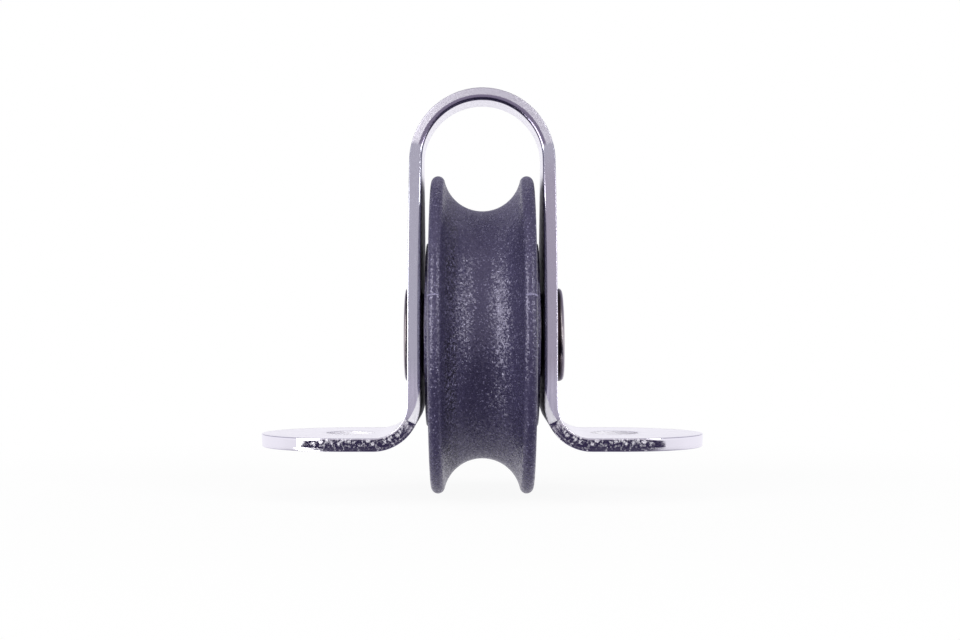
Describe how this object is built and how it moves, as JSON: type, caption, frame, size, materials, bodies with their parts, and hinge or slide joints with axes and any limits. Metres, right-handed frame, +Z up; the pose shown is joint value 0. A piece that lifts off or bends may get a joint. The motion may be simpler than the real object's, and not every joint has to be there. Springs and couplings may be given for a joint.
{
  "type": "sailing block",
  "caption": "Arched stainless strap with turned-out screw feet carries a black grooved sheave on a tube rivet, so that a line can run under the arch and turn down through a deck.",
  "frame": {"origin": "midway between the two screw holes, on the underside of the feet, which is the deck plane", "axes": "+X along the axle and from foot to foot, +Y along the run of the line, +Z up from the deck towards the crown"},
  "size_m": [0.0418, 0.03, 0.0381],
  "materials": {
    "polished_stainless": "polished",
    "black_acetal": "satin",
    "turned_stainless": "turned",
    "rivet_stainless": "polished"
  },
  "bodies": {
    "frame": {"strap": "polished_stainless", "axle_bush": "turned_stainless", "axle_rivet": "rivet_stainless"},
    "wheel": {"sheave": "black_acetal"}
  },
  "joints": [
    {"name": "sheave_spin", "type": "hinge", "parent": "frame", "child": "wheel", "pos_m": [0, 0, 0.0105], "axis": [1, 0, 0], "continuous": true}
  ]
}
